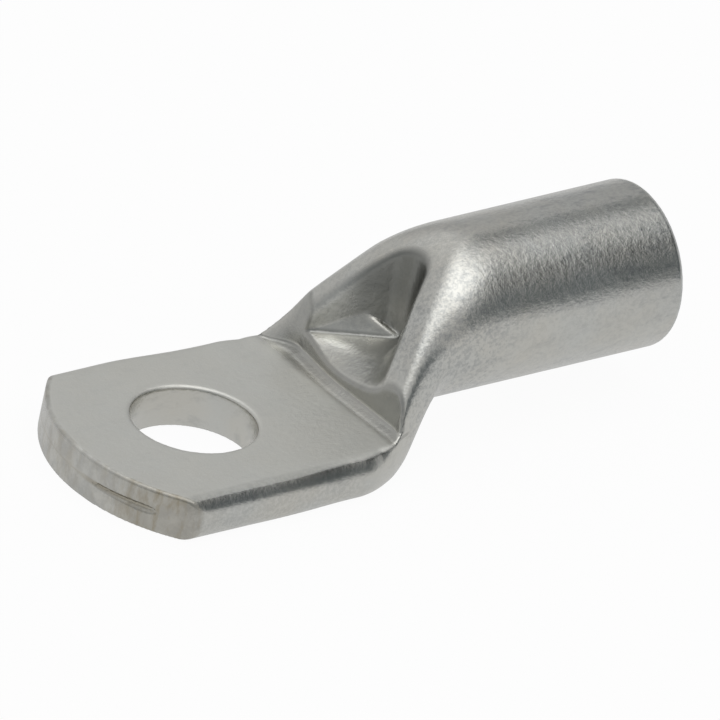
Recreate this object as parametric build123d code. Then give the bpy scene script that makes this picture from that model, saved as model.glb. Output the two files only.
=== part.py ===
"""Tubular cable lug: one length of copper tube, pressed flat at one end into a palm with a stud hole.

Frame: origin at the centre of the stud hole on the underside of the palm, +X along the
barrel to its open mouth, +Z up through the hole. Millimetres.
"""
import os
from math import atan2, cos, radians, sin, tan

from build123d import *

# Barrel: the round end that takes the conductor
barrel_d = 14.0          # outside diameter
bore_d = 10.0            # inside diameter
barrel_lift = 2.04       # underside of the barrel above the underside of the palm
mouth_x = 44.2           # stud hole centre to the open mouth
mouth_edge_r = 0.3       # rounding of the outer edge at the mouth
bore_chamfer = 0.4       # lead-in of the bore

# Palm: the flattened end that the stud clamps
palm_t = 3.8             # two tube walls pressed together
palm_w = 22.9            # over the two folded sides
palm_shift = 0.1         # middle of the palm beside the stud hole, towards the right
palm_skew = 0.25         # further shift by which the palm runs out of line behind the hole
palm_tip = 12.27         # stud hole centre to the tip of the front arc
front_r = 15.3           # radius of the sheared front arc
front_shift = 0.8        # centre of that arc beside the stud hole, towards the right
front_corner_r = 0.8     # rounding of the two front corners in plan
front_lean = 1.5         # degrees by which the sheared face leans out towards the underside
coined = 0.35            # squeezed off each face of the palm by the press
fold_depth = 2.1         # how far each folded side bulges past the flat of the palm
stud_hole_d = 10.6       # clearance for an M10 stud
hole_edge_r = 0.25       # rounding of the hole's upper edge, where the punch went in

# Neck: where the flat palm opens out into the round barrel
neck_start_x = 6.0       # the palm starts to narrow here
round_x = 28.0           # the tube is fully round from here on
neck_count = 24          # sections along the neck

# Press face: the step left by the flattening press across the root of the palm
press_x = 14.42          # foot of the steep face, above the middle of the palm
press_skew = 2.3         # degrees by which the foot runs out of square
press_ramp = 1.0         # length of the shallow ramp in front of that face
press_ramp_rise = 0.28   # height that the ramp gains
press_lean = 8.0         # degrees by which the steep face leans back
press_half = 8.4         # half width of the steep face
press_shift = 0.6        # middle of the steep face, towards the right
press_flare = 50.0       # degrees from the barrel's direction at which the press widens forwards

# Hollow: the upper wall folded down between the two shoulders
hollow_lip = 1.3         # height of its front lip above the face of the palm
hollow_floor = 2.15      # height of the ledge in its floor above the face of the palm
hollow_ramp = 2.1        # length of the slope from the front lip to the ledge
hollow_rise = 9.0        # degrees by which the floor rises behind the ledge
hollow_near = 4.6        # half width at the press face, on the right side
hollow_far = 6.2         # half width at the press face, on the left side
hollow_end_r = 1.4       # radius of its rounded end
hollow_end_y = 0.55      # centre of that end beside the middle, towards the left
hollow_len = 6.4         # press face to that end
hollow_draft = 5.0       # degrees by which its walls open upwards
cavity_start_x = 18.6    # the tube is closed tight up to here

# Seam: the inside of the tube, closed tight, that shows as a line in the sheared face
seam_gap = 0.16
seam_depth = 1.2
seam_end = 2.6           # the seam stops this far from each folded side

barrel_r = barrel_d / 2
bore_r = bore_d / 2
wall = barrel_r - bore_r
axis_z = barrel_lift + barrel_r
half_w = palm_w / 2
barrel_len = mouth_x - round_x
clear = 2 * barrel_d     # reach of a cutting form beyond the part
play = 0.02              # sideways room between the folded sides and a cut that ends at them

neck_len = round_x - neck_start_x


def stretch(first, last):
    """Span of X between two shares of the neck's length."""
    return neck_start_x + first * neck_len, neck_start_x + last * neck_len


# Stretch of X over which each size of the neck goes from its palm value to its barrel value
taper_span = stretch(-0.318, 0.136)
width_span = stretch(0.159, 0.682)
base_span = stretch(0.432, 0.650)
level_span = stretch(0.345, 0.709)
over_span = stretch(0.432, 0.977)
under_span = stretch(0.432, 0.682)
top_span = stretch(0.257, 1.0)
skew_span = stretch(-0.364, 0.0)
straighten_span = stretch(0.182, 0.636)

TAPER_SHARE = 0.11       # part of the narrowing that the palm itself takes
FOLD_LEVEL = 0.47        # share of the palm's thickness at which its folded sides are widest
FOLD_OVER = 2.0          # exponent of the folded sides above that level: 2 is an ellipse
FOLD_UNDER = 2.3         # the same below it

LIFT_START = 1.4         # exponent by which the shoulder starts its rise: above 1 is soft
LIFT_END = 2.75          # exponent by which that rise levels off towards the barrel

# Shares of the half width at which each quarter of a section is sampled
SHARES = (0.0, 0.3, 0.6, 0.8, 0.9, 0.96, 0.99, 1.0)


def blend(start, end, share):
    return start + (end - start) * share


def along(x, span):
    return min(1.0, max(0.0, (x - span[0]) / (span[1] - span[0])))


def ease(x, span):
    """Share from 0 to 1 that starts and ends level."""
    share = along(x, span)
    return share * share * (3.0 - 2.0 * share)


def lift(x, span):
    """Share from 0 to 1 that rises early and flattens towards the barrel."""
    return 1.0 - (1.0 - along(x, span) ** LIFT_START) ** LIFT_END


def middle(x):
    """Y of the middle of the section at x."""
    shift = palm_shift + palm_skew * ease(x, skew_span)
    return -shift * (1.0 - ease(x, straighten_span))


def neck_section(x, inset=0.0):
    """Closed outline in the plane at x: flat middle, rounded sides, widest at `level`."""
    narrowing = blend(TAPER_SHARE * ease(x, taper_span), 1.0, ease(x, width_span))
    half = blend(half_w, barrel_r, narrowing) - inset
    level = blend(palm_t * FOLD_LEVEL, axis_z, ease(x, level_span))
    base = blend(-coined, barrel_lift, ease(x, base_span)) + inset
    top = blend(palm_t + coined, axis_z + barrel_r, lift(x, top_span)) - inset
    centre = middle(x)

    def quarter(reach, fold, span):
        """Height over the level at each share of the half width; reach is below 0 downwards."""
        rounding = ease(x, span)
        fullness = blend(fold, 2.0, rounding)
        side = min(half, blend(fold_depth, barrel_r, rounding))
        past = [max(0.0, 1.0 - (1.0 - share) * half / side) for share in SHARES]
        return [reach * max(0.0, 1.0 - p ** fullness) ** (1.0 / fullness) for p in past]

    over = quarter(top - level, FOLD_OVER, over_span)
    under = quarter(base - level, FOLD_UNDER, under_span)

    def drawn(side, heights, turn):
        """Curve from the middle of a flat to the widest point of one side."""
        points = [(x, centre + side * share * half, level + z) for share, z in zip(SHARES, heights)]
        return Spline(points, tangents=[(0, side, 0), (0, 0, turn)])

    return Wire([
        drawn(1, over, -1),
        drawn(1, under, 1).reversed(),
        drawn(-1, under, 1),
        drawn(-1, over, -1).reversed(),
    ], sequenced=True)


def round_section(x, radius):
    """Circle in four quarters, split where the other sections are split."""
    centre = Plane((x, 0, axis_z), x_dir=(0, 1, 0), z_dir=(1, 0, 0))
    turns = (90, 0, -90, -180)
    return Wire([centre * CenterArc((0, 0), radius, turn, -90) for turn in turns], sequenced=True)


def neck(start_x, inset=0.0):
    """Form from start_x up to the round barrel: outer, or inner when inset by the wall."""
    pitch = neck_len / neck_count
    stations = [round_x - pitch * i for i in range(1, neck_count + neck_count // 2)]
    stations = [start_x] + [x for x in reversed(stations) if x > start_x + pitch / 2]
    outlines = [neck_section(x, inset) for x in stations]
    outlines.append(round_section(round_x, barrel_r - inset))
    return Solid.make_loft(outlines, ruled=True)


def barrel(radius):
    return Pos(round_x, 0, axis_z) * extrude(Plane.YZ * Circle(radius), amount=barrel_len)


def side_form(outline):
    """Body with the given outline in the XZ plane, across the whole width."""
    return extrude(make_face(Plane.XZ * Polyline(*outline, close=True)), amount=palm_w, both=True)


def bed():
    """Flat bed of the press, under the palm and the neck."""
    return side_form([(-clear, 0), (mouth_x, 0), (mouth_x, -clear), (-clear, -clear)])


def press():
    """Flattening press: everything above the palm, up to the steep face."""
    face_top = press_x + (clear - palm_t) * tan(radians(press_lean))
    ramp_x = press_x - press_ramp
    form = side_form([
        (-clear, palm_t),
        (ramp_x, palm_t),
        (press_x, palm_t + press_ramp_rise),
        (face_top, clear),
        (-clear, clear),
    ])
    flare_x = press_x - (palm_w - press_half) / tan(radians(press_flare))
    plan = Polyline(
        (-clear, palm_w),
        (flare_x, palm_w),
        (press_x, press_half),
        (mouth_x, press_half),
        (mouth_x, -press_half),
        (press_x, -press_half),
        (flare_x, -palm_w),
        (-clear, -palm_w),
        close=True,
    )
    width = Pos(0, -press_shift, 0) * extrude(make_face(plan), amount=clear)
    return form.rotate(Axis((press_x, 0, 0), (0, 0, 1)), -press_skew) & width


def hollow(grow=0.0):
    """Space of the hollow between the shoulders, larger all round by `grow`."""
    centre_x = press_x + hollow_len - hollow_end_r
    end_r = hollow_end_r + grow
    start_x = press_x - press_ramp
    ledge_x = press_x + hollow_ramp
    lip_z = palm_t + hollow_lip - grow
    ledge_z = palm_t + hollow_floor - grow
    end_z = ledge_z + (mouth_x - ledge_x) * tan(radians(hollow_rise))

    def flank(side, mouth):
        spread = mouth - side * hollow_end_y - hollow_end_r
        lean = atan2(spread, centre_x - press_x)
        touch = Vector(centre_x + end_r * sin(lean), hollow_end_y + side * end_r * cos(lean))
        return Vector(start_x, touch.Y + side * (touch.X - start_x) * tan(lean)), touch

    right_start, right_touch = flank(-1, hollow_near)
    left_start, left_touch = flank(1, hollow_far)
    outline = [
        Line(right_start, right_touch),
        ThreePointArc(right_touch, (centre_x + end_r, hollow_end_y), left_touch),
        Line(left_touch, left_start),
        Line(left_start, right_start),
    ]
    plan = Pos(0, 0, lip_z) * make_face(Wire(outline))
    column = extrude(plan, amount=clear, taper=-hollow_draft)
    side = side_form([
        (-clear, lip_z),
        (press_x, lip_z),
        (ledge_x, ledge_z),
        (mouth_x, end_z),
        (mouth_x, clear),
        (-clear, clear),
    ])
    return column & side


def cavity():
    """Inside of the tube: the round bore and what is left of it beside the folded wall."""
    inside = neck(cavity_start_x, wall) + barrel(bore_r)
    return (inside - hollow(wall)).solids().sort_by(SortBy.VOLUME)[-1]


def front():
    """Everything ahead of the sheared front edge, which leans and has rounded corners."""
    centre = Pos(front_r - palm_tip, -front_shift)
    strip = Pos(-palm_tip, -palm_shift) * Rectangle(2 * palm_tip, palm_w + 2 * play)
    plan = (centre * Circle(front_r)) & strip
    rounded = fillet(plan.vertices().sort_by(Axis.X)[:2], front_corner_r)
    leaning = extrude(centre * Circle(front_r), amount=2 * palm_t, taper=front_lean)
    ahead = Pos(-palm_tip, 0, palm_t / 2) * Box(2 * palm_tip, 2 * palm_w, 2 * palm_t)
    return ahead - (extrude(rounded, amount=2 * palm_t) & leaning)


def seam():
    """Thin slit that follows the front arc at half the thickness."""
    centre = Pos(front_r - palm_tip, -front_shift, (palm_t - seam_gap) / 2)
    ring = Circle(front_r + seam_depth) - Circle(front_r - seam_depth)
    band = centre * extrude(ring, amount=seam_gap)
    window = Pos(-palm_tip / 2, -palm_shift, 0) * Box(2 * palm_tip, palm_w - 2 * seam_end, clear)
    return band & window


def stud_hole():
    return extrude(Circle(stud_hole_d / 2), amount=palm_t)


def soften(body):
    """Round the edges of the hole and of the mouth, and give the bore its lead-in."""
    rings = body.edges().filter_by(GeomType.CIRCLE)
    hole_edges = [e for e in rings if abs(e.radius - stud_hole_d / 2) < 1e-4]
    body = body.fillet(hole_edge_r, [ShapeList(hole_edges).sort_by(Axis.Z)[-1]])
    mouth = body.faces().sort_by(Axis.X)[-1].edges().sort_by(SortBy.LENGTH)
    body = body.fillet(mouth_edge_r, [mouth[-1]])
    mouth = body.faces().sort_by(Axis.X)[-1].edges().sort_by(SortBy.LENGTH)
    return body.chamfer(bore_chamfer, None, [mouth[0]])


def cable_lug():
    tube = neck(-palm_tip - coined) - bed() - press()
    body = tube - front() - hollow() + barrel(barrel_r)
    body = body - cavity() - seam() - stud_hole()
    return soften(body)


if __name__ == "__main__":
    os.makedirs("parts", exist_ok=True)
    lug = cable_lug()
    export_step(lug, "parts/cable_lug.step")
    print("valid", lug.is_valid, "solids", len(lug.solids()), "faces", len(lug.faces()))
    print("volume", round(lug.volume, 1), "centre of mass", lug.center(CenterOf.MASS))
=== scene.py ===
"""Looks of a tubular cable lug: its pressed form, its tumbled tin plating and a plain pale studio."""
import math

import bpy
from mathutils import Matrix, Vector


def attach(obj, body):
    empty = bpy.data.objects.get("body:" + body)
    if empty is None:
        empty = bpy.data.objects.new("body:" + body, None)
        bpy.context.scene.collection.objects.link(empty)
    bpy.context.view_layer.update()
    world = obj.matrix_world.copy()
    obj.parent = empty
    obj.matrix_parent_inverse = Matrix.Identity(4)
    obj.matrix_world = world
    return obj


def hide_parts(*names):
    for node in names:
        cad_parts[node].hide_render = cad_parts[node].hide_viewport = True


bl_info = {
    "name": "Tubular cable lug",
    "version": (1, 0, 0),
    "blender": (4, 5, 0),
    "location": "3D View > Sidebar > Cable lug",
    "description": "Builds a tinned tubular cable lug and a plain studio for it",
    "category": "Object",
}

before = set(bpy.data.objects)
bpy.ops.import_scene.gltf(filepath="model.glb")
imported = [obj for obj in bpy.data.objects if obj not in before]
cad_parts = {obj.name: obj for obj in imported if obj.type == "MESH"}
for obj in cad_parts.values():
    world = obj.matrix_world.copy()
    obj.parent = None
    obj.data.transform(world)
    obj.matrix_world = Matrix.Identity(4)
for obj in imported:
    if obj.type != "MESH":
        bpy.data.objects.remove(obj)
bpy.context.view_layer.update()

MM = 0.001
LUG_NODE = "cable_lug"

# The form is given in millimetres and degrees: X from the stud hole along the barrel, Y to the
# left, Z up from the underside of the palm. Sizes that a user would change are in LugSizes.
# Two numbers are the start and the end of a stretch. Four are a change over a stretch: its start
# and end, and the values there.

# Palm, with its sheared front arc
FRONT_R = 15.3
FRONT_Y = -0.8
FRONT_CORNER_R = 0.8
FRONT_LEAN = 1.5
FRONT_END_X = 0.5        # the arc shapes nothing behind this
FRONT_EDGE = 0.25        # an edge, a corner or a blend is a rounding between two surfaces
PALM_SHIFT = -0.1        # middle of the palm
PALM_SKEW = -0.25        # further shift at its root
SKEW_SPAN = (-2.0, 6.0)
UNSHIFT_SPAN = (10.0, 20.0)
BED_EDGE = 0.2
HOLE_EDGE = 0.3

# Neck. A span is the stretch of X over which a size goes from its palm value to its barrel value.
FOLD_DEPTH = 2.1         # each folded side bulges this far past the flat
EDGE_ABOVE = 2.0         # fullness of the bulge above its widest level, 2 for an ellipse
EDGE_BELOW = 2.3
EDGE_ROUND = 2
WIDEST_SHARE = 0.47      # height of that level, as a share of the palm's thickness
COINED = 0.35            # the tube stands this far past the palm's faces before it is pressed
TAPER_SHARE = 0.11       # of the narrowing, over the first of its two spans
TAPER_SPAN = (-1.0, 9.0)
WIDTH_SPAN = (9.5, 21.0)
BASE_SPAN = (15.5, 20.3)
LEVEL_SPAN = (13.6, 21.6)
SIDE_SPAN = (15.5, 27.5)
UNDER_SPAN = (15.5, 21.0)
TOP_SPAN = (11.65, 28.0)
TOP_START = 1.4          # powers that shape the start and the end of the top's rise
TOP_END = 2.75

# Press face: foot of the steep face, ramp in front of it, and how it ends at either side
PRESS_X = 14.4
PRESS_RAMP = 0.95
PRESS_RISE = 0.28
PRESS_LEAN = 8.0
PRESS_BOW = 0.9          # the foot bends back this much towards the left
BOW_SPAN = (-1.0, 9.0)
RUN_OUT_SPAN = (5.8, 9.4)
RUN_OUT_FORWARD = 1.6    # where it runs out, the foot comes forward
RUN_OUT_LEAN = 0.62      # and the face leans back by this tangent more
RUN_OUT_SLACK = 0.2      # makes up for the steepness that the lean adds
PRESS_FOOT = 0.15        # rounding at the foot
PRESS_EDGE = 0.3
PRESS_RIGHT = 9.0        # the press ends this far to the right of the middle
RIGHT_TURN = 1.2         # and further out in front of its foot
RIGHT_SCALE = 0.75
RIGHT_BLEND = 0.8

# Hollow: half widths at the press face, rounded far end, walls, front slope, floor and wedge
HOLLOW_NEAR = 4.6
HOLLOW_FAR = 5.6
HOLLOW_END_R = 1.6
HOLLOW_END_X = 20.9
HOLLOW_END_Y = 0.55
HOLLOW_DRAFT = 5.0
LIP_HEIGHT = 1.15        # above the palm, at its lowest place
LIP_SLOPE = 0.36
LIP_LOWEST_Y = 0.6
LIP_BOW = 0.03           # rise with the square of the distance from there
FLOOR_HEIGHT = 1.86
FLOOR_SLOPE = 0.16
FLOOR_BLEND = 0.25
FLOOR_CORNER = (-1.5, 1.5, 1.6, 0.1)    # broad on the right, tight on the left
WEDGE_FRONT = ((15.9, 5.1, 2.2), (0.656, 0.627, -0.42))  # place above the palm, and direction
WEDGE_BACK = ((20.9, 0.4, 3.0), (-0.518, 0.122, -0.847))
WEDGE_CREST = 0.4
RIM_ALONG = (18.0, 21.0, 1.1, 0.7)      # rounding of the rim
RIDGE_ALONG = (17.0, 20.0, 1.0, 0.0)    # the broad ridge adds to it on the right
RIDGE_ACROSS = (-1.0, 2.5, 0.6, 0.0)

# Seam of the closed tube in the sheared face: widest on the right, shut towards the left
SEAM_DEPTH = 0.25
SEAM_START = (-8.8, -7.9)
SEAM_HALF = (-8.2, 1.0, 0.25, -0.02)
SEAM_EDGE = 0.16

# Inside of the barrel, and its mouth
CAVITY_START_X = 18.6
CAVITY_CORNER = 0.6
BORE_CHAMFER = 0.4
MOUTH_EDGE_R = 0.3

# Mesh: cells kept free around the lug, rounds of relaxing, and how it is drawn to the form
MARGIN_CELLS = 3
RELAX_ROUNDS = 2
DRAW_ROUNDS = 2
SLOPE_STEP = 0.02        # distance over which the form's slope is measured
LONGEST_SHIFT = 0.3
LEAST_STEEPNESS = 0.05

# Noise in the plating: waves per millimetre, detail, roughness, and shares of the waves by axis
GRAIN = (5.0, 4.0, 0.7)
DENTS = (1.9, 2.0)
CLOUDS = (0.26, 3.0)
WARMTH = (0.16, 3.0, 0.6)
SCUFFS = (0.55, 5.0, 0.7, (0.6, 1.4, 1.4))
SPECKLE = (2.8, 3.0, 0.7)
BLOTCHES = (0.8, 3.0, 0.6)
STREAKS = (0.9, 5.0, 0.65, (1.0, 1.0, 0.35))
WARMTH_RANGE = (0.35, 0.65)
SCUFFS_RANGE = (0.52, 0.68)
SPECKLE_RANGE = (0.44, 0.6)
BLOTCHES_RANGE = (0.4, 0.6)
STREAKS_RANGE = (0.46, 0.62)

# Where the finish changes: flat of the palm, rougher and lightened with painted light, and its near
# side, darkened with painted shade that has a grainy edge
FLAT_NEAR = (0.1, 0.25)
FLAT_END = (12.8, 13.6)
NEAR_SIDE_Y = (-10.6, -10.0)
NEAR_SIDE_END = (8.0, 12.0)
NEAR_SIDE_SHADE = (3.1, 3.8, 0.16, 0.45)
NEAR_SIDE_GRAIN = 1.2
NEAR_SIDE_SPECKLE = 0.14

# Painted shade in the hollow: darker in its back and upper part, less on the wedge, and along the
# crease. A turn is the share of Y that is added to X, so that a stretch runs aslant.
RECESS_SHADE_EDGE = (0.05, 0.45)
RECESS_SHADE_RIGHT = (17.0, 18.6)
RECESS_SHADE_RIGHT_TURN = 0.6
RECESS_SHADE_LEFT = (14.2, 17.6, 0.1, 1.0)
RECESS_SHADE_LEFT_TURN = -0.5
RECESS_SHADE_HIGH = (8.5, 10.5, 0.6, 0.85)
RECESS_SHADE_LOW = (2.7, 3.3, 0.45, 1.0)
WEDGE_EDGE = (-0.02, 0.06)
WEDGE_LESS_SHADE = 0.55
WEDGE_BLOTCHES = 0.25
CREASE_ACROSS = (0.1, 0.35)
CREASE_DEEP = (0.1, 0.3)
CREASE_HEIGHT = (1.6, 1.9)
CREASE_SHADE_STRENGTH = 0.7

# Front slope of the hollow: a painted glint along a line, painted shade in front of it
SLOPE_NEAR = (0.1, 0.2)
SLOPE_HEIGHT = (1.1, 1.4)
SLOPE_END = (18.0, 18.4)
SLOPE_TURN = 0.38
GLINT_LINE = 17.65
GLINT_ACROSS = (0.2, 0.55)
GLINT_RIGHT = (1.0, 2.0)
GLINT_LEFT = (3.7, 4.3)
SLOPE_SHADE_END = (16.6, 17.35)
SLOPE_SHADE_ACROSS = (-2.0, 2.5, 0.0, 0.5)

# Painted shade on the steep face of the press, and on the ramp at its foot, where it dims a bright
# reflection
FACE_NEAR = (0.12, 0.3)
FACE_HEIGHT = (0.2, 0.4)
FACE_LEFT = (7.0, 8.0)
FACE_SHADE = 0.5
RAMP_NEAR = (0.1, 0.2)
RAMP_HEIGHT = (0.01, 0.1)
RAMP_START = (13.0, 13.4)
RAMP_END = (15.2, 15.5)
RAMP_SHADE = (5.0, 7.0, 0.38, 0.75)

# Sheared face: depth inside the front arc, and stains by its near corner, seam and streaks
SHEARED_DEPTH = (0.55, 0.35)
SHEARED_END = (-6.0, -5.0)
CORNER_PLACE = (-9.5, -9.0)
CORNER_REACH = (1.0, 5.5, 1.0, 0.0)
SEAM_STAIN = (0.1, 0.3)
SEAM_STAIN_RIGHT = (-8.4, -7.6)
SEAM_STAIN_LEFT = (-4.0, 1.0, 0.75, 0.0)
SEAM_LINE = (0.02, 0.09, 0.4, 0.0)
SEAM_LINE_RIGHT = (-2.5, -1.5)
STREAK_STAIN = 0.3
CORNER_STREAKS = 0.4
CORNER_STAIN = 0.35

# Barrel: distances of the lip from the mouth, where painted light lightens it; its upper side, darkened
# with painted shade; shoulder on the right
LIP_EDGE = (0.4, 0.2)
UPPER_SHADE_ALONG = (30.0, 43.0)
UPPER_SHADE_HEIGHT = (10.5, 15.0)
UPPER_SHADE_TURN = 0.6
SHOULDER_START = (14.5, 17.5)
SHOULDER_END = (23.0, 28.0, 1.0, 0.0)
SHOULDER_RIGHT = (-4.0, -1.0)

# Strengths of wear by scuffs and speckle, and of the painted shade on the barrel's upper side
SCUFFS_WORN = 0.35
SCUFFS_UPPER = 0.3
SCUFFS_OFF_FLAT = 0.8
UPPER_SHADE_STRENGTH = 0.25
SPECKLE_WORN = (13.5, 16.0, 0.0, 0.25)
SHOULDER_SPECKLE = 0.4
SHOULDER_WORN = 0.05

# Colours of the plating, from the bottom layer to the top one, and strengths of the plain ones; some
# layers are painted light or painted shade
DARK_TIN = (0.57, 0.575, 0.55, 1.0)
LIGHT_TIN = (0.69, 0.695, 0.665, 1.0)
WARM_TIN = (0.64, 0.61, 0.54, 1.0)
# Painted light: lightens the palm's flat top
FLAT_LIGHTENED_TIN = (0.76, 0.76, 0.72, 1.0)
# Painted light: lightens the mouth's outer edge
MOUTH_EDGE_LIGHTENED_TIN = (0.80, 0.82, 0.82, 1.0)
SHEARED_TIN = (0.42, 0.42, 0.40, 1.0)
# Wear, and the painted shade on the barrel's upper side
WORN_AND_SHADED_TIN = (0.42, 0.43, 0.42, 1.0)
# Painted shade in the hollow, along its crease, on the press face, the near side and the front slope
PAINTED_SHADE_TIN = (0.21, 0.215, 0.205, 1.0)
# Painted glint on the hollow's front slope
PAINTED_GLINT_TIN = (0.85, 0.85, 0.80, 1.0)
STAIN = (0.38, 0.345, 0.27, 1.0)
WARM_SHARE = 0.5
FLAT_LIGHTEN_SHARE = 0.65
MOUTH_EDGE_LIGHTEN_SHARE = 0.6
SHEARED_SHARE = 0.2
SHEARED_BLOTCHES = 0.4
GLINT_SHARE = 0.7

# Relief of the plating in millimetres, and roughness: that of clean tin and what each mask adds
BUMP_STRENGTH = 0.3
BUMP_DISTANCE = 0.04
GRAIN_HEIGHT = 1.5
DENTS_HEIGHT = 1.9
SCUFFS_HEIGHT = 0.4
CLEAN_ROUGH = 0.15
CLOUDS_ROUGH = 0.08
GRAIN_ROUGH = 0.06
FLAT_ROUGH = 0.26
RECESS_ROUGH = 0.12
LIP_ROUGH = 0.2

# Room: azimuth and elevation of the middle of each soft light or dark side, angles at which it
# starts and ends to fade, and what it adds to the walls' brightness
ROOM_PATCHES = (
    (-27.6, 79.2, 5.9, 48.1, 1.1),
    (-45.1, 16.0, 14.8, 19.8, -0.44),
    (-26.3, 42.7, 4.0, 21.6, -0.92),
    (19.6, 56.4, 18.1, 23.1, -0.66),
    (-134.6, -9.9, 28.8, 78.8, -0.18),
    (52.0, 14.0, 5.0, 30.0, -0.12),
)
SHADE_TINT = (0.86, 0.98, 1.04, 1.0)
SHADE_RANGE = (0.1, 0.5)
WHITE = (1.0, 1.0, 1.0, 1.0)

# Floor: half its side in metres, millimetres below the lug, and share of white that is seen
FLOOR_HALF = 1.2
FLOOR_GAP = 0.02
FLOOR_WHITE = 0.95

# Camera: direction and scale of the photograph, where the hole's centre stands in it, and metres
CAMERA_TURN = 41.84
CAMERA_TIP = 28.97
CAMERA_ROLL = 10.06
PIXELS_PER_MM = 12.249
HOLE_PX = (187.11, 459.16)
HALF_PX = 360.0
CAMERA_DISTANCE = 0.3
CAMERA_CLIP = (0.01, 5.0)


class Term:
    """A number on its way through a node tree: arithmetic on it adds Math nodes."""

    def __init__(self, net, socket):
        self.net = net
        self.socket = socket

    def math(self, operation, *others):
        return self.net.math(operation, self, *others)

    def __add__(self, other):
        return self.math("ADD", other)

    def __radd__(self, other):
        return self.net.math("ADD", other, self)

    def __sub__(self, other):
        return self.math("SUBTRACT", other)

    def __rsub__(self, other):
        return self.net.math("SUBTRACT", other, self)

    def __mul__(self, other):
        return self.math("MULTIPLY", other)

    def __rmul__(self, other):
        return self.net.math("MULTIPLY", other, self)

    def __truediv__(self, other):
        return self.math("DIVIDE", other)

    def __rtruediv__(self, other):
        return self.net.math("DIVIDE", other, self)

    def __pow__(self, other):
        return self.math("POWER", other)

    def __neg__(self):
        return self.net.math("SUBTRACT", 0.0, self)

    def __abs__(self):
        return self.math("ABSOLUTE")

    def least(self, other):
        return self.math("MINIMUM", other)

    def most(self, other):
        return self.math("MAXIMUM", other)

    def over(self, other):
        return self.math("GREATER_THAN", other)

    def root(self):
        return self.math("SQRT")

    def ramp(self, low, high, start=0.0, end=1.0, kind="LINEAR"):
        node = self.net.node(
            "ShaderNodeMapRange",
            {"interpolation_type": kind, "clamp": True},
            {"Value": self, "From Min": low, "From Max": high, "To Min": start, "To Max": end},
        )
        return Term(self.net, node.outputs["Result"])

    def fade(self, low, high):
        return self.ramp(low, high, 1.0, 0.0)

    def ease(self, low, high, start=0.0, end=1.0):
        return self.ramp(low, high, start, end, "SMOOTHSTEP")


def hypot(first, second):
    return (first * first + second * second).root()


def soft_corner(first, second, width):
    """How far the corner between two forms is filled when it is rounded over width."""
    near = (width - abs(first - second)).most(0.0)
    return near * near * (0.25 / width)


def soft_most(first, second, width):
    """The larger of the two, with the corner between them rounded over width."""
    return first.most(second) + soft_corner(first, second, width)


def soft_least(first, second, width):
    """The smaller of the two, with the corner between them rounded over width."""
    return first.least(second) - soft_corner(first, second, width)


def round_most(first, second, radius):
    """The larger of the two, with the edge between them rounded to the radius."""
    corner = hypot((first + radius).most(0.0), (second + radius).most(0.0))
    return first.most(second).least(-radius) + corner


class Net:
    """One node tree and the ways to add nodes to it."""

    COLUMN = 190
    ROW = 170
    ROWS = 12

    def __init__(self, tree):
        self.tree = tree
        self.count = 0

    def node(self, kind, settings=None, inputs=None):
        """Adds a node: its settings first, then the values or links of its sockets."""
        made = self.tree.nodes.new(kind)
        made.location = (self.COLUMN * (self.count // self.ROWS), -self.ROW * (self.count % self.ROWS))
        self.count += 1
        for name, value in (settings or {}).items():
            setattr(made, name, value)
        for name, value in (inputs or {}).items():
            socket = made.inputs[name]
            if isinstance(value, Term):
                value = value.socket
            if isinstance(value, bpy.types.NodeSocket):
                self.tree.links.new(value, socket)
            else:
                socket.default_value = value
        return made

    def math(self, operation, *values):
        made = self.node("ShaderNodeMath", {"operation": operation}, dict(enumerate(values)))
        return Term(self, made.outputs[0])

    def vector_math(self, operation, *values):
        made = self.node("ShaderNodeVectorMath", {"operation": operation}, dict(enumerate(values)))
        return made.outputs[0]

    def scaled(self, vector, factor):
        made = self.node(
            "ShaderNodeVectorMath", {"operation": "SCALE"}, {"Vector": vector, "Scale": factor}
        )
        return made.outputs["Vector"]

    def parts(self, vector):
        made = self.node("ShaderNodeSeparateXYZ", None, {"Vector": vector})
        return tuple(Term(self, output) for output in made.outputs)

    def joined(self, x, y, z):
        return self.node("ShaderNodeCombineXYZ", None, {"X": x, "Y": y, "Z": z}).outputs[0]

    def mixed(self, factor, first, second):
        """Colour between the first, at 0, and the second, at 1."""
        settings = {"data_type": "RGBA", "blend_type": "MIX"}
        return self.node("ShaderNodeMix", settings, {0: factor, 6: first, 7: second}).outputs[2]


def new_group(name, inputs, outputs):
    """An empty geometry node group with named sockets: its Net, input node and output node."""
    tree = bpy.data.node_groups.new(name, "GeometryNodeTree")
    for direction, sockets in (("INPUT", inputs), ("OUTPUT", outputs)):
        for label, socket_type, default in sockets:
            made = tree.interface.new_socket(name=label, in_out=direction, socket_type=socket_type)
            if default is not None:
                made.default_value = default
    net = Net(tree)
    return net, net.node("NodeGroupInput"), net.node("NodeGroupOutput")


# Sizes that the form takes as named inputs: label and property
FORM_SIZES = (
    ("Barrel diameter", "barrel_diameter"),
    ("Bore diameter", "bore_diameter"),
    ("Barrel lift", "barrel_lift"),
    ("Mouth distance", "mouth_distance"),
    ("Palm thickness", "palm_thickness"),
    ("Palm width", "palm_width"),
    ("Palm tip", "palm_tip"),
    ("Stud hole diameter", "stud_hole_diameter"),
)


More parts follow.
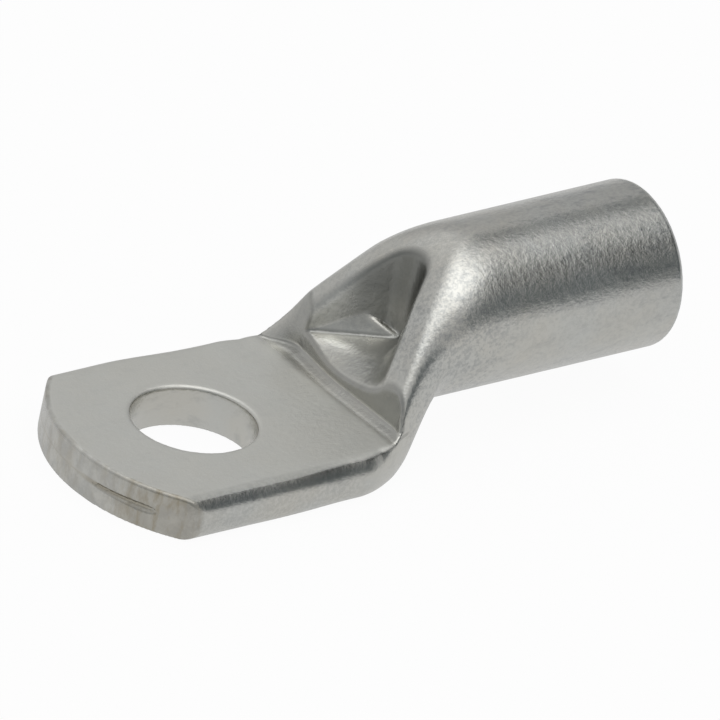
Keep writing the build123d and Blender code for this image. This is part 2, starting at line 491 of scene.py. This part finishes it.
def neck_form(x, y, z, size):
    """Tube from palm to barrel: flat middle, rounded sides, widest at its level."""
    barrel_r = size["Barrel diameter"] / 2
    palm_t = size["Palm thickness"]
    palm_half = size["Palm width"] / 2
    narrowing = x.ease(*TAPER_SPAN) * TAPER_SHARE + x.ease(*WIDTH_SPAN) * (1 - TAPER_SHARE)
    half = palm_half + (barrel_r - palm_half) * narrowing
    axis_z = size["Barrel lift"] + barrel_r
    level = x.ease(*LEVEL_SPAN, palm_t * WIDEST_SHARE, axis_z)
    upper = z.over(level)
    over_round = x.ease(*SIDE_SPAN)
    under_round = x.ease(*UNDER_SPAN)
    rounding = under_round + (over_round - under_round) * upper
    edge = EDGE_BELOW + (EDGE_ABOVE - EDGE_BELOW) * upper
    fullness = edge * (1 - rounding) + rounding * EDGE_ROUND
    side = (FOLD_DEPTH + (barrel_r - FOLD_DEPTH) * rounding).least(half)
    base = x.ease(*BASE_SPAN, -COINED, size["Barrel lift"])
    rise = 1 - (1 - x.ramp(*TOP_SPAN) ** TOP_START) ** TOP_END
    low_top = palm_t + COINED
    top = low_top + (axis_z + barrel_r - low_top) * rise
    past = ((abs(y) - half) / side + 1).most(0.0)
    reach = (level - base) + (top - level - level + base) * upper
    height = abs(z - level) / reach
    share = (past ** fullness + height ** fullness) ** (1 / fullness)
    return (share - 1) * (top - base) / 2


def beyond_plane(x, y, height, plane):
    """Distance beyond a plane that is given by a place on it and the direction it faces."""
    (at_x, at_y, at_height), (along_x, along_y, upwards) = plane
    return (x - at_x) * along_x + (y - at_y) * along_y + (height - at_height) * upwards


def hollow_sides(x, y, z, palm_t):
    """Distances outside the hollow's walls, below its floor and inside the wedge on its left."""
    centre_x = HOLLOW_END_X - HOLLOW_END_R
    ahead_x = x - centre_x
    aside_y = y - HOLLOW_END_Y
    height = z - palm_t
    flanks = []
    for side, mouth_y in ((-1, -HOLLOW_NEAR), (1, HOLLOW_FAR)):
        spread = side * (mouth_y - HOLLOW_END_Y) - HOLLOW_END_R
        lean = math.atan2(spread, centre_x - PRESS_X)
        ahead = ahead_x * math.cos(lean) - aside_y * (side * math.sin(lean))
        aside = ahead_x * math.sin(lean) + aside_y * (side * math.cos(lean))
        flanks.append(hypot(ahead.most(0.0), aside.most(0.0)) + aside.least(0.0))
    plan = flanks[0].most(flanks[1]) - HOLLOW_END_R - height * math.tan(math.radians(HOLLOW_DRAFT))
    behind_press = (x - PRESS_X).most(0.0)
    from_lowest = y - LIP_LOWEST_Y
    front = behind_press * LIP_SLOPE + LIP_HEIGHT + from_lowest * from_lowest * LIP_BOW
    back = behind_press * FLOOR_SLOPE + FLOOR_HEIGHT
    floor = soft_least(front, back, FLOOR_BLEND) - height
    wedge_front = beyond_plane(x, y, height, WEDGE_FRONT)
    wedge_back = beyond_plane(x, y, height, WEDGE_BACK)
    return plan, floor, soft_least(wedge_front, wedge_back, WEDGE_CREST)


def hollow_form(x, y, z, palm_t):
    """Space between the shoulders, where the upper wall folded down: teardrop in plan."""
    plan, floor, wedge = hollow_sides(x, y, z, palm_t)
    return soft_most(plan, floor, y.ease(*FLOOR_CORNER)).most(wedge)


def press_face(x, y, z, palm_t):
    """Distances above the ramp and in front of the steep face, which run out at the left."""
    run_out = y.ease(*RUN_OUT_SPAN)
    foot = y.ease(*BOW_SPAN) * PRESS_BOW - run_out * RUN_OUT_FORWARD + PRESS_X
    behind = foot - x
    rise = (1 - behind / PRESS_RAMP).most(0.0).least(1.0) * (1 - run_out) * PRESS_RISE
    lean = math.tan(math.radians(PRESS_LEAN)) + run_out * RUN_OUT_LEAN
    face = (behind + (z - palm_t - PRESS_RISE) * lean) * (1 - run_out * RUN_OUT_SLACK)
    return z - palm_t - rise, face


def press_form(x, y, z, palm_t):
    """What the flattening press takes away: all above the palm, up to its steep face."""
    above, face = press_face(x, y, z, palm_t)
    stroke = soft_least(above, face, PRESS_FOOT)
    right = PRESS_RIGHT + y + (PRESS_X - x).most(0.0) * RIGHT_TURN
    return soft_least(stroke, right * RIGHT_SCALE, RIGHT_BLEND)


def make_form():
    """Group that gives the distance in millimetres from a place to the surface of the lug."""
    inputs = [("Place", "NodeSocketVector", None)]
    inputs += [(label, "NodeSocketFloat", 0.0) for label, _ in FORM_SIZES]
    net, taken, given = new_group("Lug form", inputs, [("Distance", "NodeSocketFloat", None)])
    size = {label: Term(net, taken.outputs[label]) for label, _ in FORM_SIZES}
    x, y, z = net.parts(taken.outputs["Place"])
    palm_t = size["Palm thickness"]
    palm_half = size["Palm width"] / 2
    bore_r = size["Bore diameter"] / 2
    wall = (size["Barrel diameter"] - size["Bore diameter"]) / 2
    axis_z = size["Barrel lift"] + size["Barrel diameter"] / 2

    middle = PALM_SHIFT + x.ease(*SKEW_SPAN) * PALM_SKEW
    middle = middle - x.ease(*UNSHIFT_SPAN) * (PALM_SHIFT + PALM_SKEW)
    tube = neck_form(x, y - middle, z, size)
    hollow = hollow_form(x, y, z, palm_t)

    # Palm in plan: front arc and two sides
    centre_x = FRONT_R - size["Palm tip"]
    arc = hypot((x - centre_x).least(0.0), y - FRONT_Y) - FRONT_R
    arc = (arc + z * math.tan(math.radians(FRONT_LEAN))).least(FRONT_END_X - x)
    plan = round_most(arc, abs(y - PALM_SHIFT) - palm_half, FRONT_CORNER_R)

    form = soft_most(tube, -z, BED_EDGE)
    form = soft_most(form, plan, FRONT_EDGE)
    # Broad round ridge on the right of the hollow, tighter rim round the rest
    rim = y.ease(*RIDGE_ACROSS) * x.ease(*RIDGE_ALONG) + x.ease(*RIM_ALONG)
    form = soft_most(form, -hollow, rim)
    form = soft_most(form, press_form(x, y, z, palm_t), PRESS_EDGE)

    # Stud hole, with its upper edge rounded by the punch
    hole = size["Stud hole diameter"] / 2 - hypot(x, y)
    form = soft_most(form, hole, HOLE_EDGE)

    # Seam of the closed tube in the sheared face
    gape = y.ease(*SEAM_HALF) * y.ramp(*SEAM_START)
    slit = (abs(z - palm_t / 2) - gape).most(-arc - SEAM_DEPTH)
    form = soft_most(form, -slit, SEAM_EDGE)

    # Bore, and what is left of it beside the folded wall
    cavity = soft_most(tube + wall, wall - hollow, CAVITY_CORNER).most(CAVITY_START_X - x)
    form = form.most(-cavity)
    form = round_most(form, x - size["Mouth distance"], MOUTH_EDGE_R)
    across = hypot(y, z - axis_z)
    lead_in = (bore_r + BORE_CHAMFER - size["Mouth distance"] + x - across) * math.sqrt(0.5)
    form = form.most(lead_in)

    net.tree.links.new(form.socket, given.inputs["Distance"])
    return net.tree


def distance_at(net, form, place, size):
    """Distance in millimetres from a place in metres to the lug's surface."""
    inputs = {"Place": net.scaled(place, 1 / MM), **size}
    made = net.node("GeometryNodeGroup", {"node_tree": form}, inputs)
    return Term(net, made.outputs["Distance"])


def drawn_to_form(net, form, size):
    """The present position, moved along the slope of the form onto its surface."""
    place = net.node("GeometryNodeInputPosition").outputs[0]
    here = distance_at(net, form, place, size)
    slope = []
    for axis in range(3):
        offset = [0.0, 0.0, 0.0]
        offset[axis] = SLOPE_STEP * MM
        ahead = net.vector_math("ADD", place, offset)
        behind = net.vector_math("SUBTRACT", place, offset)
        rise = distance_at(net, form, ahead, size) - distance_at(net, form, behind, size)
        slope.append(rise / (2 * SLOPE_STEP))
    steepness = slope[0] * slope[0] + slope[1] * slope[1] + slope[2] * slope[2]
    shift = (here / steepness.most(LEAST_STEEPNESS)).most(-LONGEST_SHIFT).least(LONGEST_SHIFT) * MM
    return net.vector_math("SUBTRACT", place, net.scaled(net.joined(*slope), shift))


def moved(net, mesh, position):
    made = net.node("GeometryNodeSetPosition", None, {"Geometry": mesh, "Position": position})
    return made.outputs[0]


def make_lug_tree(form, pitch_default):
    """Tree of the modifier: a fine mesh of the form, relaxed and drawn onto its surface."""
    inputs = [("Geometry", "NodeSocketGeometry", None)]
    inputs += [(label, "NodeSocketFloat", 0.0) for label, _ in FORM_SIZES]
    inputs.append(("Mesh pitch", "NodeSocketFloat", pitch_default))
    inputs.append(("Finish", "NodeSocketMaterial", None))
    net, taken, given = new_group("Lug", inputs, [("Geometry", "NodeSocketGeometry", None)])
    size = {label: Term(net, taken.outputs[label]) / MM for label, _ in FORM_SIZES}
    pitch = Term(net, taken.outputs["Mesh pitch"])
    margin = pitch * MARGIN_CELLS
    low = net.joined(
        -Term(net, taken.outputs["Palm tip"]) - margin,
        Term(net, taken.outputs["Palm width"]) * -0.5 + PALM_SHIFT * MM - margin,
        -margin,
    )
    high = net.joined(
        Term(net, taken.outputs["Mouth distance"]) + margin,
        Term(net, taken.outputs["Palm width"]) * 0.5 + margin,
        (size["Barrel lift"] + size["Barrel diameter"]) * MM + margin,
    )
    spans = net.parts(net.vector_math("SUBTRACT", high, low))
    place = net.node("GeometryNodeInputPosition").outputs[0]
    volume = net.node(
        "GeometryNodeVolumeCube",
        None,
        {
            "Density": -distance_at(net, form, place, size),
            "Background": -1.0,
            "Min": low,
            "Max": high,
            "Resolution X": spans[0] / pitch,
            "Resolution Y": spans[1] / pitch,
            "Resolution Z": spans[2] / pitch,
        },
    )
    mesh = net.node(
        "GeometryNodeVolumeToMesh",
        {"resolution_mode": "GRID"},
        {"Volume": volume.outputs[0], "Threshold": 0.0, "Adaptivity": 0.0},
    ).outputs[0]
    for _ in range(RELAX_ROUNDS):
        place = net.node("GeometryNodeInputPosition").outputs[0]
        eased = net.node(
            "GeometryNodeBlurAttribute", {"data_type": "FLOAT_VECTOR"}, {"Value": place, "Iterations": 1}
        )
        mesh = moved(net, mesh, eased.outputs[0])
        for _ in range(DRAW_ROUNDS):
            mesh = moved(net, mesh, drawn_to_form(net, form, size))
    smooth = net.node("GeometryNodeSetShadeSmooth", None, {"Geometry": mesh})
    real = net.node("GeometryNodeRealizeInstances", None, {"Geometry": smooth.outputs[0]})
    done = net.node(
        "GeometryNodeSetMaterial",
        None,
        {"Geometry": real.outputs[0], "Material": taken.outputs["Finish"]},
    )
    net.tree.links.new(done.outputs[0], given.inputs["Geometry"])
    return net.tree


def emptied(block):
    """Net for the node tree of a new material or world, with nothing in it."""
    block.use_nodes = True
    block.node_tree.nodes.clear()
    return Net(block.node_tree)


def noise(net, place, scale, detail, roughness=0.5, stretch=(1.0, 1.0, 1.0)):
    """Noise from 0 to 1 with its middle at 0.5; scale in waves per millimetre."""
    spread = tuple(scale * share / MM for share in stretch)
    made = net.node(
        "ShaderNodeTexNoise",
        {"noise_dimensions": "3D"},
        {
            "Vector": net.vector_math("MULTIPLY", place, spread),
            "Scale": 1.0,
            "Detail": detail,
            "Roughness": roughness,
        },
    )
    return Term(net, made.outputs["Fac"])


def hollow_masks(x, y, z, palm_t, blotches):
    """Painted shade in the hollow and along its crease, and the painted glint and the painted shade on
    its slope.
    """
    plan, floor, wedge = hollow_sides(x, y, z, palm_t)
    height = z - palm_t
    on_wedge = (wedge - plan.most(floor)).ramp(*WEDGE_EDGE)
    # Painted shade, darker in the back and upper part of the hollow, less on the wedge
    recess_shade = plan.most(floor).most(wedge).fade(*RECESS_SHADE_EDGE)
    recess_shade = recess_shade * (x + y * RECESS_SHADE_RIGHT_TURN).ease(*RECESS_SHADE_RIGHT)
    recess_shade = recess_shade * (z.ramp(*RECESS_SHADE_HIGH) - on_wedge * (WEDGE_LESS_SHADE - blotches * WEDGE_BLOTCHES))
    recess_shade = recess_shade * (x + y * RECESS_SHADE_LEFT_TURN).ease(*RECESS_SHADE_LEFT) * height.ramp(*RECESS_SHADE_LOW)
    # Painted shade along the crease, which dims the glint on its edge
    crease = abs(floor - wedge).fade(*CREASE_ACROSS) * plan.most(wedge).fade(*CREASE_DEEP)
    crease = crease * height.ramp(*CREASE_HEIGHT) * CREASE_SHADE_STRENGTH
    slope = abs(floor).fade(*SLOPE_NEAR) * height.ramp(*SLOPE_HEIGHT) * x.fade(*SLOPE_END)
    across = x + y * SLOPE_TURN
    # Painted glint along a line on the slope
    glint = slope * abs(across - GLINT_LINE).fade(*GLINT_ACROSS)
    glint = glint * y.ramp(*GLINT_RIGHT) * y.fade(*GLINT_LEFT)
    # Painted shade on the slope in front of that line
    slope_shade = slope * across.fade(*SLOPE_SHADE_END) * y.ramp(*SLOPE_SHADE_ACROSS)
    return recess_shade, crease, glint, slope_shade


def press_shade(x, y, z, palm_t):
    """Painted shade on the steep face, and on the ramp at its foot, where it dims a bright reflection.
    """
    above, face = press_face(x, y, z, palm_t)
    # Painted shade on the steep face
    pressed = abs(face).fade(*FACE_NEAR) * above.ramp(*FACE_HEIGHT) * y.fade(*FACE_LEFT)
    # Painted shade on the ramp, which dims its bright reflection
    ramp = abs(above).fade(*RAMP_NEAR) * (z - palm_t).ramp(*RAMP_HEIGHT)
    ramp = ramp * x.ramp(*RAMP_START) * x.fade(*RAMP_END)
    return pressed * FACE_SHADE + ramp * y.ease(*RAMP_SHADE)


def sheared_masks(x, y, z, palm_t, centre_x, streaks):
    """The sheared front face, and the stains in its seam and towards its near corner."""
    depth, full_depth = SHEARED_DEPTH
    sheared = hypot(x - centre_x, y - FRONT_Y).ramp(FRONT_R - depth, FRONT_R - full_depth)
    sheared = sheared * x.fade(*SHEARED_END)
    corner_x, corner_y = CORNER_PLACE
    near_corner = hypot(x - corner_x, y - corner_y).ease(*CORNER_REACH)
    from_seam = abs(z - palm_t / 2)
    seam = from_seam.fade(*SEAM_STAIN) * y.ease(*SEAM_STAIN_RIGHT) * y.ease(*SEAM_STAIN_LEFT)
    seam = seam.most(from_seam.ramp(*SEAM_LINE) * y.ramp(*SEAM_LINE_RIGHT))
    stain = streaks * STREAK_STAIN + near_corner * (streaks * CORNER_STREAKS + CORNER_STAIN)
    return sheared, seam.most(stain)


def make_tin(sizes):
    """Tumbled matt tin plating: fine grain, clouded roughness, places of wear and stain, painted light
    on the palm's flat and the mouth's edge, painted shade on the barrel's upper side, the near side, in
    the hollow and on the press, and a painted glint.
    """
    material = bpy.data.materials.new("tumbled_tin")
    net = emptied(material)
    place = net.node("ShaderNodeTexCoord").outputs["Object"]
    x, y, z = net.parts(net.scaled(place, 1 / MM))
    palm_t = sizes.palm_thickness / MM
    mouth_x = sizes.mouth_distance / MM
    front_x = FRONT_R - sizes.palm_tip / MM

    grain = noise(net, place, *GRAIN)
    dents = noise(net, place, *DENTS)
    clouds = noise(net, place, *CLOUDS)
    warmth = noise(net, place, *WARMTH).ramp(*WARMTH_RANGE)
    scuffs = noise(net, place, *SCUFFS).ramp(*SCUFFS_RANGE)
    speckle = noise(net, place, *SPECKLE).ramp(*SPECKLE_RANGE)
    blotches = noise(net, place, *BLOTCHES).ramp(*BLOTCHES_RANGE)
    streaks = noise(net, place, *STREAKS).ramp(*STREAKS_RANGE)

    # Flat top of the palm: rougher, and lightened with painted light
    flat = abs(z - palm_t).fade(*FLAT_NEAR) * x.fade(*FLAT_END)
    # Painted shade along the near side, with a grainy edge
    near_side_shade = (z + grain * NEAR_SIDE_GRAIN).ramp(*NEAR_SIDE_SHADE) - speckle * NEAR_SIDE_SPECKLE
    near_side_shade = y.fade(*NEAR_SIDE_Y) * x.fade(*NEAR_SIDE_END) * near_side_shade

    # Painted shade in the hollow, along its crease, on the press face, the near side and the front
    # slope, and a painted glint on that slope
    recess_shade, crease, glint, slope_shade = hollow_masks(x, y, z, palm_t, blotches)
    painted_shade = press_shade(x, y, z, palm_t).most(crease).most(near_side_shade).most(slope_shade)
    sheared, stain = sheared_masks(x, y, z, palm_t, front_x, streaks)

    # Outer edge of the mouth, lightened with painted light; the barrel's upper side behind it, darkened
    # with painted shade; the shoulder
    lip = x.ramp(mouth_x - LIP_EDGE[0], mouth_x - LIP_EDGE[1])
    # Painted shade: darker towards the top of the barrel behind the mouth
    upper_shade = (z - y * UPPER_SHADE_TURN).ramp(*UPPER_SHADE_HEIGHT)
    upper_shade = x.ramp(*UPPER_SHADE_ALONG) * upper_shade * (1 - lip)
    shoulder = x.ease(*SHOULDER_START) * x.ease(*SHOULDER_END) * y.fade(*SHOULDER_RIGHT)
    wear_and_shade = scuffs * (1 - flat * SCUFFS_OFF_FLAT) * (upper_shade * SCUFFS_UPPER + SCUFFS_WORN)
    # The barrel's upper side darkens with painted shade
    wear_and_shade = wear_and_shade + upper_shade * UPPER_SHADE_STRENGTH + speckle * x.ease(*SPECKLE_WORN)
    wear_and_shade = wear_and_shade + shoulder * (speckle * SHOULDER_SPECKLE + SHOULDER_WORN)

    colour = net.mixed((grain + clouds) / 2, DARK_TIN, LIGHT_TIN)
    for share, layer in (
        (warmth * WARM_SHARE, WARM_TIN),
        # Painted light on the palm's flat top
        (flat * FLAT_LIGHTEN_SHARE, FLAT_LIGHTENED_TIN),
        # Painted light on the mouth's outer edge
        (lip * MOUTH_EDGE_LIGHTEN_SHARE, MOUTH_EDGE_LIGHTENED_TIN),
        (sheared * (blotches * SHEARED_BLOTCHES + SHEARED_SHARE), SHEARED_TIN),
        # Wear and painted shade
        (wear_and_shade, WORN_AND_SHADED_TIN),
        # Painted shade
        ((recess_shade * (1 - glint)).most(painted_shade), PAINTED_SHADE_TIN),
        # Painted glint
        (glint * GLINT_SHARE, PAINTED_GLINT_TIN),
        (sheared * stain, STAIN),
    ):
        colour = net.mixed(share, colour, layer)
    height = grain * GRAIN_HEIGHT + dents * DENTS_HEIGHT + scuffs * SCUFFS_HEIGHT
    bump = net.node(
        "ShaderNodeBump",
        None,
        {"Strength": BUMP_STRENGTH, "Distance": BUMP_DISTANCE * MM, "Height": height},
    )
    roughness = clouds * CLOUDS_ROUGH + grain * GRAIN_ROUGH + flat * FLAT_ROUGH
    roughness = roughness + recess_shade * RECESS_ROUGH + lip * LIP_ROUGH + CLEAN_ROUGH
    shader = net.node(
        "ShaderNodeBsdfPrincipled",
        None,
        {
            "Base Color": colour,
            "Metallic": 1.0,
            "Roughness": roughness,
            "Normal": bump.outputs["Normal"],
        },
    )
    net.node("ShaderNodeOutputMaterial", None, {"Surface": shader.outputs[0]})
    return material


class LugSizes(bpy.types.PropertyGroup):
    """Sizes of the lug."""

    barrel_diameter: bpy.props.FloatProperty(
        name="Barrel diameter", description="Outside diameter of the barrel",
        default=14.0 * MM, unit="LENGTH", precision=4,
    )
    bore_diameter: bpy.props.FloatProperty(
        name="Bore diameter", description="Inside diameter of the barrel",
        default=10.0 * MM, unit="LENGTH", precision=4,
    )
    barrel_lift: bpy.props.FloatProperty(
        name="Barrel lift", description="Underside of the barrel above the underside of the palm",
        default=2.04 * MM, unit="LENGTH", precision=5,
    )
    mouth_distance: bpy.props.FloatProperty(
        name="Mouth distance", description="Centre of the stud hole to the open mouth",
        default=44.2 * MM, unit="LENGTH", precision=4,
    )
    palm_thickness: bpy.props.FloatProperty(
        name="Palm thickness", description="Thickness of the flattened end",
        default=3.8 * MM, unit="LENGTH", precision=5,
    )
    palm_width: bpy.props.FloatProperty(
        name="Palm width", description="Width of the flattened end over its folded sides",
        default=22.9 * MM, unit="LENGTH", precision=5,
    )
    palm_tip: bpy.props.FloatProperty(
        name="Palm tip", description="Centre of the stud hole to the tip of the palm",
        default=12.27 * MM, unit="LENGTH", precision=4,
    )
    stud_hole_diameter: bpy.props.FloatProperty(
        name="Stud hole diameter", description="Clearance hole for the stud",
        default=10.6 * MM, unit="LENGTH", precision=5,
    )
    mesh_pitch: bpy.props.FloatProperty(
        name="Mesh pitch", description="Distance between the points of the mesh",
        default=0.22 * MM, unit="LENGTH", precision=5,
    )


class StudioSettings(bpy.types.PropertyGroup):
    """Floor and light of the studio."""

    floor_colour: bpy.props.FloatVectorProperty(
        name="Floor colour", description="Colour of the plain floor", subtype="COLOR",
        default=(0.85, 0.85, 0.85), size=3, min=0.0, max=1.0,
    )
    floor_mirrored: bpy.props.FloatProperty(
        name="Floor mirrored", description="Brightness of the floor as the metal mirrors it",
        default=0.68, min=0.0, max=1.0,
    )
    room_strength: bpy.props.FloatProperty(
        name="Room strength", description="Brightness of the room's plain walls",
        default=0.587, min=0.0,
    )


class OBJECT_OT_lug(bpy.types.Operator):
    """Builds the lug's pressed form with its tin plating"""

    bl_idname = "object.build_cable_lug"
    bl_label = "Build lug"

    def execute(self, context):
        sizes = context.scene.lug_sizes
        tree = make_lug_tree(make_form(), sizes.mesh_pitch)
        seed = bpy.data.objects.new("lug_seed", bpy.data.meshes.new("lug_seed"))
        context.scene.collection.objects.link(seed)
        modifier = seed.modifiers.new("Lug", "NODES")
        modifier.node_group = tree
        ids = {item.name: item.identifier for item in tree.interface.items_tree}
        for label, prop in FORM_SIZES:
            modifier[ids[label]] = getattr(sizes, prop)
        modifier[ids["Mesh pitch"]] = sizes.mesh_pitch
        modifier[ids["Finish"]] = make_tin(sizes)
        graph = context.evaluated_depsgraph_get()
        mesh = bpy.data.meshes.new_from_object(seed.evaluated_get(graph))
        bpy.data.objects.remove(seed)
        mesh.name = "lug"
        lug = bpy.data.objects.new("lug", mesh)
        context.scene.collection.objects.link(lug)
        if not mesh.polygons:
            raise RuntimeError("the lug came out empty")
        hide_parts(LUG_NODE)
        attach(lug, "root")
        return {"FINISHED"}


class OBJECT_OT_studio(bpy.types.Operator):
    """Sets up the floor, the light and the camera"""

    bl_idname = "object.build_lug_studio"
    bl_label = "Build studio"

    def execute(self, context):
        settings = context.scene.lug_studio
        build_floor(context, settings)
        build_room(context, settings)
        build_camera(context)
        context.scene.view_settings.view_transform = "Standard"
        return {"FINISHED"}


def build_floor(context, settings):
    """Plain floor that shows white, is mirrored at its own level and keeps the lug's shadow."""
    material = bpy.data.materials.new("studio_floor")
    net = emptied(material)
    colour = (*settings.floor_colour, 1.0)
    matt = net.node("ShaderNodeBsdfDiffuse", None, {"Color": colour})
    path = net.node("ShaderNodeLightPath")
    camera = Term(net, path.outputs["Is Camera Ray"])
    seen = camera.most(Term(net, path.outputs["Is Glossy Ray"]))
    seen = seen.most(Term(net, path.outputs["Is Transmission Ray"]))
    strength = settings.floor_mirrored + camera * (1 - settings.floor_mirrored)
    white = net.node("ShaderNodeEmission", None, {"Color": WHITE, "Strength": strength})
    shown = net.node(
        "ShaderNodeMixShader", None, {0: seen * FLOOR_WHITE, 1: matt.outputs[0], 2: white.outputs[0]}
    )
    net.node("ShaderNodeOutputMaterial", None, {"Surface": shown.outputs[0]})
    mesh = bpy.data.meshes.new("floor")
    signs = ((-1, -1), (1, -1), (1, 1), (-1, 1))
    corners = [(along * FLOOR_HALF, across * FLOOR_HALF, -FLOOR_GAP * MM) for along, across in signs]
    mesh.from_pydata(corners, [], [(0, 1, 2, 3)])
    mesh.materials.append(material)
    floor = bpy.data.objects.new("floor", mesh)
    context.scene.collection.objects.link(floor)


def build_room(context, settings):
    """World of plain walls with soft lights and dark sides; the camera sees it white."""
    world = bpy.data.worlds.new("studio")
    context.scene.world = world
    net = emptied(world)
    x, y, z = net.parts(net.node("ShaderNodeTexCoord").outputs["Generated"])
    level = settings.room_strength
    for azimuth, elevation, inner, outer, strength in ROOM_PATCHES:
        turn = math.radians(azimuth)
        rise = math.radians(elevation)
        near = x * (math.cos(turn) * math.cos(rise)) + y * (math.sin(turn) * math.cos(rise))
        near = near + z * math.sin(rise)
        patch = near.ease(math.cos(math.radians(outer)), math.cos(math.radians(inner)))
        level = patch * strength + level
    level = level.most(0.0)
    camera = Term(net, net.node("ShaderNodeLightPath").outputs["Is Camera Ray"])
    strength = level * (1 - camera) + camera
    tint = net.mixed(strength.ramp(*SHADE_RANGE), SHADE_TINT, WHITE)
    light = net.node("ShaderNodeBackground", None, {"Color": tint, "Strength": strength})
    net.node("ShaderNodeOutputWorld", None, {"Surface": light.outputs[0]})


def build_camera(context):
    """Long-lens view from the palm's side, matched to the photograph's directions."""
    turn = math.radians(CAMERA_TURN)
    tip = math.radians(CAMERA_TIP)
    roll = math.radians(CAMERA_ROLL)
    across = Vector((math.cos(turn), -math.sin(turn), 0))
    upward = Vector((math.sin(turn) * math.sin(tip), math.cos(turn) * math.sin(tip), math.cos(tip)))
    right = across * math.cos(roll) + upward * math.sin(roll)
    up = upward * math.cos(roll) - across * math.sin(roll)
    back = right.cross(up)
    pixel = MM / PIXELS_PER_MM
    centre = right * ((HALF_PX - HOLE_PX[0]) * pixel) + up * ((HOLE_PX[1] - HALF_PX) * pixel)
    data = bpy.data.cameras.new("camera")
    data.type = "ORTHO"
    data.ortho_scale = 2 * HALF_PX * pixel
    data.clip_start, data.clip_end = CAMERA_CLIP
    camera = bpy.data.objects.new("camera", data)
    context.scene.collection.objects.link(camera)
    turned = Matrix((right, up, back)).transposed().to_4x4()
    camera.matrix_world = Matrix.Translation(centre + back * CAMERA_DISTANCE) @ turned
    context.scene.camera = camera


class VIEW3D_PT_lug(bpy.types.Panel):
    """Sizes of the lug and the buttons that build it"""

    bl_idname = "VIEW3D_PT_cable_lug"
    bl_label = "Cable lug"
    bl_space_type = "VIEW_3D"
    bl_region_type = "UI"
    bl_category = "Cable lug"

    def draw(self, context):
        for settings in (context.scene.lug_sizes, context.scene.lug_studio):
            for name in settings.__annotations__:
                self.layout.prop(settings, name)
        for operator in OPERATORS:
            self.layout.operator(operator.bl_idname)


OPERATORS = (OBJECT_OT_lug, OBJECT_OT_studio)
CLASSES = (LugSizes, StudioSettings, *OPERATORS, VIEW3D_PT_lug)


def register():
    for cls in CLASSES:
        bpy.utils.register_class(cls)
    bpy.types.Scene.lug_sizes = bpy.props.PointerProperty(type=LugSizes)
    bpy.types.Scene.lug_studio = bpy.props.PointerProperty(type=StudioSettings)


def unregister():
    del bpy.types.Scene.lug_studio
    del bpy.types.Scene.lug_sizes
    for cls in reversed(CLASSES):
        bpy.utils.unregister_class(cls)


def main():
    register()
    bpy.ops.object.build_cable_lug()
    bpy.ops.object.build_lug_studio()
    bpy.context.view_layer.update()


if __name__ == "__main__":
    main()
